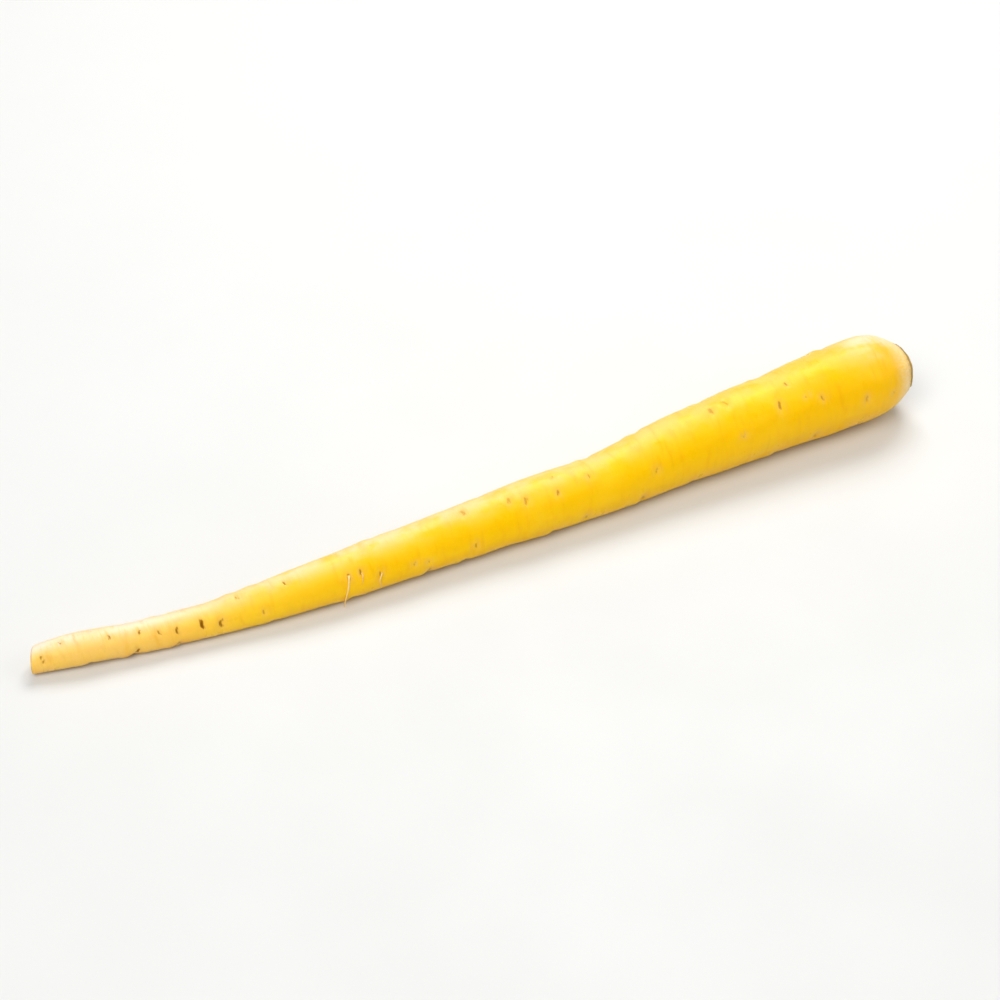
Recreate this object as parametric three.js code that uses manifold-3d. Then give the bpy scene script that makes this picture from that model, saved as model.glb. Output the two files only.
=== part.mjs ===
// One slim yellow carrot, pulled, washed and trimmed, lying on its side.
// Sizes are millimetres. +X runs from the cut tail to the crown, +Z is up,
// and the root lies on the plane z = 0. Turns round the root are degrees:
// 0 faces +Y, 90 is the top, 180 faces -Y and 270 is the underside.

import * as THREE from 'three';
import { mergeVertices } from 'three/addons/utils/BufferGeometryUtils.js';
import Module from 'manifold-3d';

// Whole carrot
const LENGTH = 240; // longest point of the cut tail to the tops of the leaf stubs
const GAP = 0.3; // clearance between the root and the leaf stubs
const SEED = 4.7; // shifts every scattered value
const SCATTER_STEP = 12.9898; // these two make scattered values look random
const SCATTER_SCALE = 43758.5453;

// Taper and bend of the root; every "at" is measured from the tail
const GIRTH = [ // [at, diameter]
  [0, 6.2], [6, 7.1], [13, 8.0], [25, 7.6], [41, 8.0], [54, 9.3], [67, 10.7], [92, 12.4], [113, 13.4],
  [127, 14.7], [141, 14.8], [155, 16.1], [170, 18.0], [185, 19.4], [200, 20.2], [213, 21.8], [222, 22.2],
];
const BOW = [ // [at, sideways drift of the axis]
  [0, -0.3], [15, -2.4], [30, -4.4], [46, -5.8], [66, -6.4], [86, -6.1], [106, -5.3], [135, -4.6],
  [150, -4.0], [164, -2.4], [185, -1.0], [205, 0.2], [222, 0.8], [240, 1.2],
];
const DOME = 19.6; // half length of the ellipse that rounds the shoulder

// Unevenness of the root
const OVAL = 0.14; // how far the section is from round
const OVAL_PITCH = 46; // length over which the oval turns by half a radian
const SWELL = 0.13; // height of the low swellings
const SWELL_PITCH = 5.1; // length over which a swelling runs one radian
const SWELL_SPIRAL = 23; // length over which the swellings turn one radian round the root
const SWELL_SWAY = 1.5; // radians by which a swelling runs ahead on top and behind below
const RIPPLE = 0.065; // height of the shorter ripples
const RIPPLE_PITCH = 2.7;
const RIPPLE_SWAY = 2; // radians by which a ripple runs ahead on one side and behind on the other
const THIN_SHARE = 0.45; // share of the unevenness left where the root is thinnest
const FULL_SIDE = { at: 231, turn: 40, rise: 1.2, reach: 8 }; // the shoulder is fuller on one side

// Cut tail
const CUT_AT = 1.4; // middle of the cut face
const CUT_SLANT = 0.4; // slope of the cut across the root
const CUT_FADE = 12; // the slope is gone this far from the cut
const CUT_EDGE = 0.5; // rounding of the cut edge
const CUT_HOLLOW = 0.3; // the cut face has dried to a slight hollow

// Underside: two stretches lie flat, and the root arches a little off the surface elsewhere
const REST_STRETCHES = [[28, 78], [130, 214]]; // [from, to]
const REST_HALF_TURN = 12.5; // degrees each side of straight down that are flat
const REST_FADE = 16; // length over which a flat stretch lifts off
const ARCH = 0.7; // height of the arches
const FLANK = 0.6; // steepness at which the side becomes the underside
const FLOOR = 0.97; // steepness from which it is all underside

// Rootlet scars: a dent across the root with a low lip on its tail side
const SCAR_DEPTH = 0.34;
const SCAR_LENGTH = 1.25; // along the root
const SCAR_WIDTH = 2.0; // across the root
const SCAR_REACH = 8; // nothing of a scar shows farther away
const LIP_HEIGHT = 0.2;
const LIP_LENGTH = 1.5;
const LIP_SHIFT = 2.1;
const SCARS_IN_FRONT = [ // [at, turn, size]
  [3.9, 138, 0.5], [4.5, 157, 0.6], [8, 96, 0.6], [19, 119, 0.7], [24.7, 200, 0.9], [26, 121, 0.6],
  [30.3, 140, 0.7], [34.3, 147, 0.9], [40.3, 146, 1.2], [44.7, 162, 1.0], [49.9, 90, 0.6], [55, 166, 0.6],
  [61.7, 103, 0.7], [76.5, 145, 0.8], [79.7, 144, 0.7], [84.5, 166, 0.8], [93.3, 168, 0.5], [97, 176, 0.5],
  [108.7, 94, 0.9], [109.7, 177, 0.8], [120.5, 107, 0.8], [124.5, 120, 1.0], [133, 126, 0.7],
  [133.5, 88, 0.6], [142.1, 114, 0.6], [159.7, 154, 0.7], [179, 94, 1.1], [183.8, 92, 1.0],
  [184.9, 154, 0.5], [196.7, 130, 1.1], [200.9, 102, 0.6], [204.5, 131, 0.5], [208.5, 142, 0.7],
  [221, 165, 0.8], [229.7, 170, 0.5],
];
const SCAR_ROWS = [222, 318, 6, 28]; // turns of the rows round the back
const SCAR_SPACING = 17; // along each row
const SCAR_WANDER = 16; // degrees either way
const SCAR_SIZES = [0.6, 1.2]; // smallest and largest

// Crown: a shallow seat with the trimmed leaf stalks in it
const CROWN_RADIUS = 7; // edge of the seat
const SEAT_DEPTH = 1.2;
const PLATE_LIP = 0.25; // edge of the stalks' plate above the crown
const PLATE_RISE = 0.35; // dome of that plate
const STALK_RINGS = [ // crescents of stalk, from the outside in; "stand" is above the crown
  { count: 3, radius: 5.7, thick: 1.5, span: 138, stand: 1.1 },
  { count: 3, radius: 3.9, thick: 1.5, span: 104, stand: 1.45 },
  { count: 2, radius: 2.2, thick: 1.3, span: 124, stand: 2.1 },
];
const RING_TURN = 1.1; // radians from one ring's first stalk to the next ring's
const STALK_DRIFT = 0.25; // share of its place by which a stalk strays round the ring
const STALK_UNEVEN = 0.3; // share by which stalks differ in height
const STALK_SLANT = 0.06; // steepest slant of a stalk's cut
const BUD_RADIUS = 1.1;
const BUD_HEIGHT = 1.2;

// Faceting
const SIDES = 32;
const STATIONS = 122;
const SHOULDER_STATIONS = 11;
const STALK_STEPS = 10;
const BUD_SIDES = 12;
const BUD_RINGS = 8;
const CUT_FACE_SHARES = [0.22, 0.5, 0.78]; // rings on the cut face, as shares of its radius
const CUT_EDGE_BENDS = [0, 0.5]; // rings on the cut edge, as shares of its quarter turn
const SEAT_SHARES = [1, 0.6, 0.25]; // rings on the crown seat, as shares of its radius
const PLATE_SHARES = [1, 0.8, 0.5, 0.2, 0]; // points across the stalks' plate
const CALM_FROM = 0.5; // share of the dome from which the unevenness dies away towards the crown
const STALK_PICKS = 500; // first scattered value used for the stalks
const WELD = 1e-4;

// Finish
const SKIN = { color: 0xf6c60c, roughness: 0.5, metalness: 0 };
const STALK = { color: 0x8c8a32, roughness: 0.75, metalness: 0 };

const radians = THREE.MathUtils.degToRad;
const [SHOULDER_AT, SHOULDER_DIAMETER] = GIRTH[GIRTH.length - 1];
const SHOULDER_RADIUS = SHOULDER_DIAMETER / 2;
const CROWN_TURN = Math.acos(CROWN_RADIUS / SHOULDER_RADIUS); // where the dome meets the seat
const CROWN_AT = SHOULDER_AT + DOME * Math.sin(CROWN_TURN);
const SEAT_AT = CROWN_AT - SEAT_DEPTH;
const STALK_FOOT = SEAT_DEPTH - GAP; // depth of the plate below the crown

// A fixed value between 0 and 1 for each index
function scatter(index) {
  const value = Math.sin(index * SCATTER_STEP + SEED) * SCATTER_SCALE;
  return value - Math.floor(value);
}

function smooth(low, high, value) {
  return THREE.MathUtils.smoothstep(value, low, high);
}

function hill(distance, reach) {
  return Math.exp(-((distance / reach) ** 2));
}

// Smooth curve through a table of [at, value], level at both ends
function along(table, at) {
  const last = table.length - 1;
  const place = THREE.MathUtils.clamp(at, table[0][0], table[last][0]);
  const next = Math.max(1, table.findIndex(([end]) => end >= place));
  const slope = (k) => (k === 0 || k === last ? 0
    : (table[k + 1][1] - table[k - 1][1]) / (table[k + 1][0] - table[k - 1][0]));
  const [start, from] = table[next - 1];
  const [end, to] = table[next];
  const step = end - start;
  const u = (place - start) / step;
  return from * (1 + 2 * u) * (1 - u) ** 2 + to * u * u * (3 - 2 * u)
    + slope(next - 1) * step * u * (1 - u) ** 2 - slope(next) * step * u * u * (1 - u);
}

const bodyRadius = (at) => along(GIRTH, at) / 2;
const axisSide = (at) => along(BOW, at);
const axisHeight = (at) => bodyRadius(at) * Math.cos(radians(REST_HALF_TURN));

// Share of the underside in a direction: 1 straight down, 0 from the flanks up
function under(turn) {
  return smooth(FLANK, FLOOR, -Math.sin(turn));
}

function archLift(at) {
  const rests = REST_STRETCHES.map(([from, to]) => (
    smooth(from - REST_FADE, from, at) * (1 - smooth(to, to + REST_FADE, at))));
  return ARCH * (1 - Math.max(...rests));
}

function rootScars() {
  const scars = [...SCARS_IN_FRONT];
  const count = Math.floor(SHOULDER_AT / SCAR_SPACING);
  SCAR_ROWS.forEach((row, index) => {
    for (let k = 0; k < count; k += 1) {
      const pick = 3 * (index * count + k);
      const at = (k + scatter(pick)) * SCAR_SPACING;
      const turn = row + SCAR_WANDER * (2 * scatter(pick + 1) - 1);
      scars.push([at, turn, THREE.MathUtils.lerp(...SCAR_SIZES, scatter(pick + 2))]);
    }
  });
  return scars;
}

function scarRelief(scars, at, turn, radius) {
  let relief = 0;
  for (const [scarAt, scarTurn, size] of scars) {
    const ahead = at - scarAt;
    if (Math.abs(ahead) < SCAR_REACH) {
      const away = turn - radians(scarTurn);
      const across = hill(Math.atan2(Math.sin(away), Math.cos(away)) * radius, SCAR_WIDTH * size);
      relief -= SCAR_DEPTH * size * across * hill(ahead, SCAR_LENGTH);
      relief += LIP_HEIGHT * size * across * hill(ahead + LIP_SHIFT, LIP_LENGTH);
    }
  }
  return relief;
}

// How the skin stands off the round taper
function growth(scars, at, turn, radius) {
  const uneven = OVAL * Math.cos(2 * turn - at / OVAL_PITCH)
    + SWELL * Math.sin(at / SWELL_PITCH + SWELL_SWAY * Math.sin(turn)) * Math.cos(turn - at / SWELL_SPIRAL)
    + RIPPLE * Math.sin(at / RIPPLE_PITCH + RIPPLE_SWAY * Math.cos(turn));
  const facing = (1 + Math.cos(turn - radians(FULL_SIDE.turn))) / 2;
  const full = FULL_SIDE.rise * facing ** 2 * hill(at - FULL_SIDE.at, FULL_SIDE.reach);
  const thick = THREE.MathUtils.lerp(THIN_SHARE, 1, radius / SHOULDER_RADIUS);
  const skin = thick * uneven + full + scarRelief(scars, at, turn, radius);
  return (1 - under(turn)) * skin - under(turn) * archLift(at);
}

// Rings of the root from the middle of the tail cut to the middle of the crown seat.
// "skin" is the share of the growth that a ring carries and "lean" its share of the cut's slope.
function rootRings() {
  const rings = [];
  const tail = bodyRadius(CUT_AT);
  for (const share of CUT_FACE_SHARES) {
    const at = CUT_AT + CUT_HOLLOW * (1 - share ** 2);
    rings.push({ at, radius: (tail - CUT_EDGE) * share, skin: 0, lean: 1 });
  }
  for (const bend of CUT_EDGE_BENDS) {
    const turn = (bend * Math.PI) / 2;
    const at = CUT_AT + CUT_EDGE * (1 - Math.cos(turn));
    rings.push({ at, radius: tail - CUT_EDGE * (1 - Math.sin(turn)), skin: bend, lean: 1 });
  }
  const start = CUT_AT + CUT_EDGE;
  for (let k = 0; k < STATIONS; k += 1) {
    const at = start + ((SHOULDER_AT - start) * k) / STATIONS;
    rings.push({ at, radius: bodyRadius(at), skin: 1, lean: 1 - smooth(0, CUT_FADE, at - start) });
  }
  for (let k = 0; k <= SHOULDER_STATIONS; k += 1) {
    const share = k / SHOULDER_STATIONS;
    const at = SHOULDER_AT + DOME * Math.sin(CROWN_TURN * share);
    const radius = SHOULDER_RADIUS * Math.cos(CROWN_TURN * share);
    rings.push({ at, radius, skin: 1 - smooth(CALM_FROM, 1, share), lean: 0 });
  }
  for (const share of SEAT_SHARES) {
    rings.push({ at: SEAT_AT, radius: CROWN_RADIUS * share, skin: 0, lean: 0 });
  }
  return rings;
}

function rootGeometry() {
  const rings = rootRings();
  const scars = rootScars();
  const points = [];
  const put = (at, side, height) => points.push(at - LENGTH / 2, side, Math.max(0, height));
  put(CUT_AT + CUT_HOLLOW, axisSide(CUT_AT), axisHeight(CUT_AT));
  for (const { at, radius, skin, lean } of rings) {
    for (let j = 0; j < SIDES; j += 1) {
      const turn = (2 * Math.PI * j) / SIDES - Math.PI / 2;
      const reach = radius + skin * growth(scars, at, turn, radius);
      const side = reach * Math.cos(turn);
      put(at + CUT_SLANT * lean * side, axisSide(at) + side, axisHeight(at) + reach * Math.sin(turn));
    }
  }
  put(SEAT_AT, axisSide(CROWN_AT), axisHeight(CROWN_AT));

  const faces = [];
  const last = rings.length - 1;
  const vertex = (ring, side) => 1 + ring * SIDES + (side % SIDES);
  for (let j = 0; j < SIDES; j += 1) {
    faces.push(0, vertex(0, j + 1), vertex(0, j));
    for (let i = 0; i < last; i += 1) {
      faces.push(vertex(i, j), vertex(i, j + 1), vertex(i + 1, j + 1));
      faces.push(vertex(i, j), vertex(i + 1, j + 1), vertex(i + 1, j));
    }
    faces.push(vertex(last, j), vertex(last, j + 1), points.length / 3 - 1);
  }
  const geometry = new THREE.BufferGeometry();
  geometry.setAttribute('position', new THREE.Float32BufferAttribute(points, 3));
  geometry.setIndex(faces);
  return geometry;
}

// One trimmed stalk: a crescent in plan with rounded tips, cut off at a slight slant
function stalk({ radius, thick, span }, height, slant) {
  const bend = (k) => (k / STALK_STEPS) * 2 - 1;
  const spot = (u, side) => {
    const angle = (u * radians(span)) / 2;
    const reach = radius + (side * thick * Math.sqrt(1 - u * u)) / 2;
    return new THREE.Vector2(reach * Math.cos(angle), reach * Math.sin(angle));
  };
  const outline = [];
  for (let k = 0; k <= STALK_STEPS; k += 1) outline.push(spot(bend(k), 1));
  for (let k = STALK_STEPS - 1; k > 0; k -= 1) outline.push(spot(bend(k), -1));
  const plan = new THREE.Shape(outline);
  const geometry = new THREE.ExtrudeGeometry(plan, { depth: height, bevelEnabled: false });
  const spots = geometry.getAttribute('position');
  for (let k = 0; k < spots.count; k += 1) {
    if (spots.getZ(k) > 0) spots.setZ(k, height + slant * (spots.getX(k) - radius));
  }
  return geometry;
}

// The plate that the stalks grow from, a low dome with a flat back at z = 0
function stalkPlate() {
  const edge = CROWN_RADIUS - GAP;
  const profile = [new THREE.Vector2(0, 0), new THREE.Vector2(edge, 0)];
  for (const share of PLATE_SHARES) {
    const height = STALK_FOOT + PLATE_LIP + PLATE_RISE * (1 - share ** 2);
    profile.push(new THREE.Vector2(edge * share, height));
  }
  return new THREE.LatheGeometry(profile, SIDES).rotateX(Math.PI / 2);
}

function bud() {
  const ball = new THREE.SphereGeometry(BUD_RADIUS, BUD_SIDES, BUD_RINGS);
  return ball.scale(1, 1, BUD_HEIGHT / BUD_RADIUS).translate(0, 0, STALK_FOOT + PLATE_LIP + PLATE_RISE);
}

function leafStubGeometry(wasm) {
  const solid = (geometry) => {
    geometry.deleteAttribute('normal');
    geometry.deleteAttribute('uv');
    const welded = mergeVertices(geometry, WELD);
    return new wasm.Manifold(new wasm.Mesh({
      numProp: 3,
      vertProperties: Float32Array.from(welded.getAttribute('position').array),
      triVerts: Uint32Array.from(welded.getIndex().array),
    }));
  };
  let whole = solid(stalkPlate()).add(solid(bud()));
  let pick = STALK_PICKS;
  STALK_RINGS.forEach((ring, depth) => {
    for (let k = 0; k < ring.count; k += 1) {
      const turn = (2 * Math.PI * (k + STALK_DRIFT * scatter(pick))) / ring.count + RING_TURN * depth;
      const stand = ring.stand * (1 + STALK_UNEVEN * (scatter(pick + 1) - 0.5));
      const slant = STALK_SLANT * (2 * scatter(pick + 2) - 1);
      whole = whole.add(solid(stalk(ring, STALK_FOOT + stand, slant).rotateZ(turn)));
      pick += 3;
    }
  });
  const mesh = whole.getMesh();
  const geometry = new THREE.BufferGeometry();
  geometry.setAttribute('position', new THREE.Float32BufferAttribute(mesh.vertProperties, 3));
  geometry.setIndex(new THREE.BufferAttribute(mesh.triVerts, 1));
  return geometry;
}

function named(name, geometry, finish) {
  geometry.computeVertexNormals();
  const mesh = new THREE.Mesh(geometry, new THREE.MeshStandardMaterial(finish));
  mesh.name = name;
  return mesh;
}

const wasm = await Module();
wasm.setup();

const root = named('carrot_root', rootGeometry(), SKIN);
const stubs = named('leaf_stubs', leafStubGeometry(wasm), STALK);
stubs.rotation.y = Math.PI / 2;
stubs.position.set(SEAT_AT + GAP - LENGTH / 2, axisSide(CROWN_AT), axisHeight(CROWN_AT));

const group = new THREE.Group();
group.add(root, stubs);

export default group;
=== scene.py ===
import math

import bpy
import numpy as np
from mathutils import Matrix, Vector, noise


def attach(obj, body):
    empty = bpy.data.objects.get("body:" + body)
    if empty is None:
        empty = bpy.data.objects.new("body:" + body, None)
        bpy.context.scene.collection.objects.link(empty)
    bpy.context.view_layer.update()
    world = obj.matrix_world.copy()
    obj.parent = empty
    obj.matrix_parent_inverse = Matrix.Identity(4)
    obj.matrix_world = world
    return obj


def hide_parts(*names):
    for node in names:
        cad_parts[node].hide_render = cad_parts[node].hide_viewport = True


# Looks of one slim yellow carrot, lying on its side on a pale floor.
# The root and the leaf stubs are shown as finer pieces, grown from the same sizes and formulas as the solids,
# and root hairs are added. Sizes are millimetres until a mesh is made. Turns round the root are degrees:
# 0 faces +Y, 90 is the top, 180 faces -Y and 270 is the underside.

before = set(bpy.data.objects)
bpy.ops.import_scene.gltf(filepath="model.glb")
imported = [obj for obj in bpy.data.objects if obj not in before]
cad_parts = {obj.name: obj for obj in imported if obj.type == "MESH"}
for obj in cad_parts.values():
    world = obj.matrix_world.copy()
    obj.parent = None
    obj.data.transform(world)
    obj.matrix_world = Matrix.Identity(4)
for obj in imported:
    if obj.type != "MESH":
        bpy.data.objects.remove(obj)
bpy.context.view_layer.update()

# Whole carrot
MM = 0.001  # one millimetre in metres
LENGTH = 240
GAP = 0.3  # clearance between the solids of the root and the leaf stubs
SEED = 4.7  # shifts every scattered value
SCATTER_STEP, SCATTER_SCALE = 12.9898, 43758.5453  # these make scattered values look random

# Taper and bend of the root; every "at" is measured from the tail
GIRTH = (  # (at, diameter)
    (0, 6.2), (6, 7.1), (13, 8.0), (25, 7.6), (41, 8.0), (54, 9.3), (67, 10.7), (92, 12.4), (113, 13.4),
    (127, 14.7), (141, 14.8), (155, 16.1), (170, 18.0), (185, 19.4), (200, 20.2), (213, 21.8), (222, 22.2),
)
BOW = (  # (at, sideways drift of the axis)
    (0, -0.3), (15, -2.4), (30, -4.4), (46, -5.8), (66, -6.4), (86, -6.1), (106, -5.3), (135, -4.6),
    (150, -4.0), (164, -2.4), (185, -1.0), (205, 0.2), (222, 0.8), (240, 1.2),
)
DOME = 19.6  # half length of the ellipse that rounds the shoulder
CALM_FROM = 0.5  # share of the dome from which the unevenness dies away towards the crown

# Unevenness of the root: heights, and lengths over which each runs or turns one radian
OVAL, OVAL_PITCH = 0.14, 46
SWELL, SWELL_PITCH, SWELL_SPIRAL = 0.13, 5.1, 23
RIPPLE, RIPPLE_PITCH = 0.065, 2.7
SWELL_SWAY, RIPPLE_SWAY = 1.5, 2  # radians by which they run ahead on one side and behind on the other
THIN_SHARE = 0.45  # share of the unevenness left where the root is thinnest
FULL_AT, FULL_TURN, FULL_RISE, FULL_REACH = 231, 40, 1.2, 8  # the shoulder is fuller on one side

# Cut tail
CUT_AT, CUT_SLANT, CUT_FADE = 1.4, 0.4, 12  # its slope across dies away over the fade
CUT_EDGE, CUT_HOLLOW = 0.5, 0.3  # rounding of its edge, and dip of its face
CUT_ROUGH, CUT_WAVES = 0.06, 9  # unevenness of the cut face, and radians of its rings

# Underside: two stretches lie flat, and the root arches a little off the floor elsewhere
REST_STRETCHES = ((28, 78), (130, 214))
REST_HALF_TURN, REST_FADE, ARCH = 12.5, 16, 0.7
FLANK, FLOOR = 0.6, 0.97  # shares of the way down between which the relief dies away

# Rootlet scars: a dent across the root with a low lip on its tail side
SCAR_DEPTH, SCAR_LENGTH, SCAR_WIDTH, SCAR_REACH = 0.34, 1.25, 2.0, 8
LIP_HEIGHT, LIP_LENGTH, LIP_SHIFT = 0.2, 1.5, 2.1
SCARS_IN_FRONT = (  # (at, turn, size, darkness of the healed slit)
    (3.9, 138, 0.5, 0.6), (4.5, 157, 0.6, 0.75), (8, 96, 0.6, 0.6), (19, 119, 0.7, 0.7),
    (24.7, 200, 0.9, 0.85), (26, 121, 0.6, 0.7), (30.3, 140, 0.7, 0.65), (34.3, 147, 0.9, 0.8),
    (40.3, 146, 1.2, 1.0), (44.7, 162, 1.0, 0.8), (49.9, 90, 0.6, 0.3), (55, 166, 0.6, 0.45),
    (61.7, 103, 0.7, 0.8), (76.5, 145, 0.8, 0.5), (79.7, 144, 0.7, 0.55), (84.5, 166, 0.8, 0.5),
    (93.3, 168, 0.5, 0.45), (97, 176, 0.5, 0.35), (108.7, 94, 0.9, 0.3), (109.7, 177, 0.8, 0.5),
    (120.5, 107, 0.8, 0.25), (124.5, 120, 1.0, 0.4), (133, 126, 0.7, 0.45), (133.5, 88, 0.6, 0.25),
    (142.1, 114, 0.6, 0.3), (159.7, 154, 0.7, 0.5), (179, 94, 1.1, 0.3), (183.8, 92, 1.0, 0.35),
    (184.9, 154, 0.5, 0.2), (196.7, 130, 1.1, 0.5), (200.9, 102, 0.6, 0.35), (204.5, 131, 0.5, 0.3),
    (208.5, 142, 0.7, 0.35), (221, 165, 0.8, 0.3), (229.7, 170, 0.5, 0.45),
)
SCAR_ROWS, SCAR_SPACING, SCAR_WANDER = (222, 318, 6, 28), 17, 16  # rows of scars round the back
SCAR_SIZES, HIDDEN_DARKNESS = (0.6, 1.2), (0.2, 0.5)  # ranges for those
SLIT_DEPTH, SLIT_LENGTH, SLIT_WIDTH = 0.16, 0.42, 1.15  # the healed slit in the middle of a scar
SLIT_BLUNTNESS = 4  # power that gives a slit blunt ends
SLIT_TILT = 0.22  # steepest slope of a slit
SLIT_WAVE, SLIT_WAVES = 0.16, 2.6  # how far a slit wavers, and radians of that a millimetre
WAVE_STARTS = 7  # radians over which the starts of slits' and creases' waves are scattered
HALO_LENGTH, HALO_WIDTH = 1.5, 2.2  # reach of the cork round a slit
SCAR_PICKS = 900  # first scattered value used for slits

# Fine relief of the skin
CREASES, CREASE_DEPTH, CREASE_LENGTH = 150, 0.05, 0.34
CREASE_SHARES = (0.35, 1)  # range of depths, as shares of the full one
CREASE_HALF_TURNS = (9, 42)
CREASE_CROWDING = 0.35  # how much closer together the creases are towards both ends
CREASE_TILT = 0.6  # steepest slope of a crease, in mm a radian
CREASE_WAVE, CREASE_WAVES = 0.25, 5  # how far a crease wavers, and radians of that a radian round
CREASE_PICKS = 1300  # first scattered value used for creases
WRINKLE = 0.05  # height of the close wrinkles that run across the root
WRINKLE_LENGTH, WRINKLE_WIDTH = 1.5, 5.5
LUMP, LUMP_SIZE, LUMP_LIFT = 0.13, 7.0, 31.7  # the lifts keep the two noises apart
DIMPLE, DIMPLE_SIZE, DIMPLE_LIFT = 0.07, 3.2, 57.3
TAIL_HIGHLIGHT_TURN, TAIL_HIGHLIGHT_REACH, TAIL_HIGHLIGHT_FADE = 80, 0.62, (15, 75)  # painted highlight: the tail's upper side is painted pale cream
TOP_HIGHLIGHT_TURN, TOP_HIGHLIGHT_REACH = 76, 0.55  # painted highlight: pale patches painted along the top; both reaches are in radians
TOP_HIGHLIGHT_SHARES = (  # (at, share), most of all on the neck and the shoulder
    (30, 0.0), (60, 0.6), (110, 0.55), (150, 0.35), (205, 0.2), (217, 0.25), (229, 0.95), (240, 0.4),
)
COLLAR_AT, COLLAR_FADE = 229, 8  # the shoulder is rougher from here to the crown
COLLAR_RIDGE, COLLAR_PITCH, COLLAR_BEND = 0.05, 0.42, 2.5  # fine ridges, which the lumps bend

# Crown: a shallow seat with the trimmed leaf stalks in it
CROWN_RADIUS, SEAT_DEPTH = 7, 1.2
RIM_CURL = 0.16  # the crown's edge curls in against the stalks
RIM_WAVE, RIM_REACH = 0.13, 4  # that edge isn't quite round
RIM_WAVES = (  # (waves round the edge, start, share)
    (3, 1, 1), (5, 2.4, 0.6), (8, 0, 0.4), (13, 0.7, 0.3), (22, 0, 0.25),
)
PLATE_LIP, PLATE_RISE, PLATE_FRAY = 0.25, 0.35, 0.045  # edge, middle and roughness of the stalks' plate
PLATE_ROUND, PLATE_ROUND_FROM = 0.3, 0.93  # it falls away from this share of its radius
PLATE_BACK_SHARE = 0.5  # ring on its back, as a share of its radius
STALK_RINGS = (  # (count, radius, thick, span, stand), from the outside in
    (3, 5.7, 1.5, 138, 1.1),
    (3, 3.9, 1.5, 104, 1.45),
    (2, 2.2, 1.3, 124, 2.1),
)
RING_TURN = 1.1  # turn of each ring against the one outside it, in radians
STALK_DRIFT, STALK_UNEVEN, STALK_SLANT = 0.25, 0.3, 0.06  # how uneven the stalks are
BUD_RADIUS, BUD_HEIGHT = 1.1, 1.2
BUD_RIBS, BUD_RIB, BUD_TIP = 5, 0.1, 0.02  # low ribs round the bud, and its tip
STALK_PICKS = 500  # first scattered value used for stalks
STALK_EDGE = 0.09  # rounding of a stalk's cut edge
FACE_EDGES = 4  # a cut face is full this many roundings in
STALK_DISH = 0.14  # the cut faces have dried to a hollow
BUNDLES, BUNDLE_SPAN = 7, 0.84  # veins that show in a stalk's cut face, and the share of it they take
BUNDLE_SIZE, BUNDLE_RISE = 0.2, 0.07
FRAY, FRAY_SIZE = 0.09, 0.5  # the cut edges are a little frayed

# Mesh density
SIDES = 144  # points round the root
FACE_RINGS, EDGE_RINGS = 16, 6  # rings on the tail's cut face and on its rounded edge
STATIONS, SHOULDER_STATIONS = 560, 56  # rings along the root and over its shoulder
CURL_RINGS = 5  # rings on the crown's edge
SEAT_SHARES = (1, 0.6, 0.25)  # rings on the crown seat, as shares of its radius
STUB_SIDES, STUB_RINGS = 288, 84
HAIR_SIDES, HAIR_STEPS = 8, 26

SHOULDER_AT, SHOULDER_DIAMETER = GIRTH[-1]
SHOULDER_RADIUS = SHOULDER_DIAMETER / 2
CROWN_TURN = math.acos(CROWN_RADIUS / SHOULDER_RADIUS)
CROWN_AT = SHOULDER_AT + DOME * math.sin(CROWN_TURN)
SEAT_AT = CROWN_AT - SEAT_DEPTH
STALK_FOOT = SEAT_DEPTH - GAP


def scatter(index):
    """A fixed value between 0 and 1 for each index."""
    value = math.sin(index * SCATTER_STEP + SEED) * SCATTER_SCALE
    return value - math.floor(value)


def between(limits, share):
    return limits[0] + (limits[1] - limits[0]) * share


def smooth(low, high, value):
    share = np.clip((value - low) / (high - low), 0, 1)
    return share * share * (3 - 2 * share)


def hill(distance, reach):
    return np.exp(-((distance / reach) ** 2))


def along(table, at):
    """Smooth curve through a table of (at, value), level at both ends."""
    places, values = np.array(table, float).T
    slopes = np.zeros(len(table))
    slopes[1:-1] = (values[2:] - values[:-2]) / (places[2:] - places[:-2])
    place = np.clip(at, places[0], places[-1])
    end = np.clip(np.searchsorted(places, place), 1, len(table) - 1)
    start = end - 1
    step = places[end] - places[start]
    u = (place - places[start]) / step
    level = values[start] * (1 + 2 * u) * (1 - u) ** 2 + values[end] * u * u * (3 - 2 * u)
    return level + step * u * (1 - u) * (slopes[start] * (1 - u) - slopes[end] * u)


def body_radius(at):
    return along(GIRTH, at) / 2


def axis_side(at):
    return along(BOW, at)


def axis_height(at):
    return body_radius(at) * math.cos(math.radians(REST_HALF_TURN))


def wrapped(angle):
    return np.arctan2(np.sin(angle), np.cos(angle))


def grain(points, size, lift=0.0):
    """Smooth noise between -1 and 1 at each point; "size" is its grain in each direction."""
    scaled = points / np.array(size, float) + lift
    values = [noise.noise(Vector(point)) for point in scaled.reshape(-1, 3).tolist()]
    return np.array(values).reshape(points.shape[:-1])


def rim_wave(turn):
    """How far the crown's edge strays from round."""
    return RIM_WAVE * sum(share * np.sin(waves * turn + start) for waves, start, share in RIM_WAVES)


# Root

def root_scars():
    scars = list(SCARS_IN_FRONT)
    count = SHOULDER_AT // SCAR_SPACING
    for index, row in enumerate(SCAR_ROWS):
        for k in range(count):
            pick = 3 * (index * count + k)
            at = (k + scatter(pick)) * SCAR_SPACING
            turn = row + SCAR_WANDER * (2 * scatter(pick + 1) - 1)
            size = between(SCAR_SIZES, scatter(pick + 2))
            scars.append((at, turn, size, between(HIDDEN_DARKNESS, scatter(pick + 2.5))))
    return scars


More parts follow.
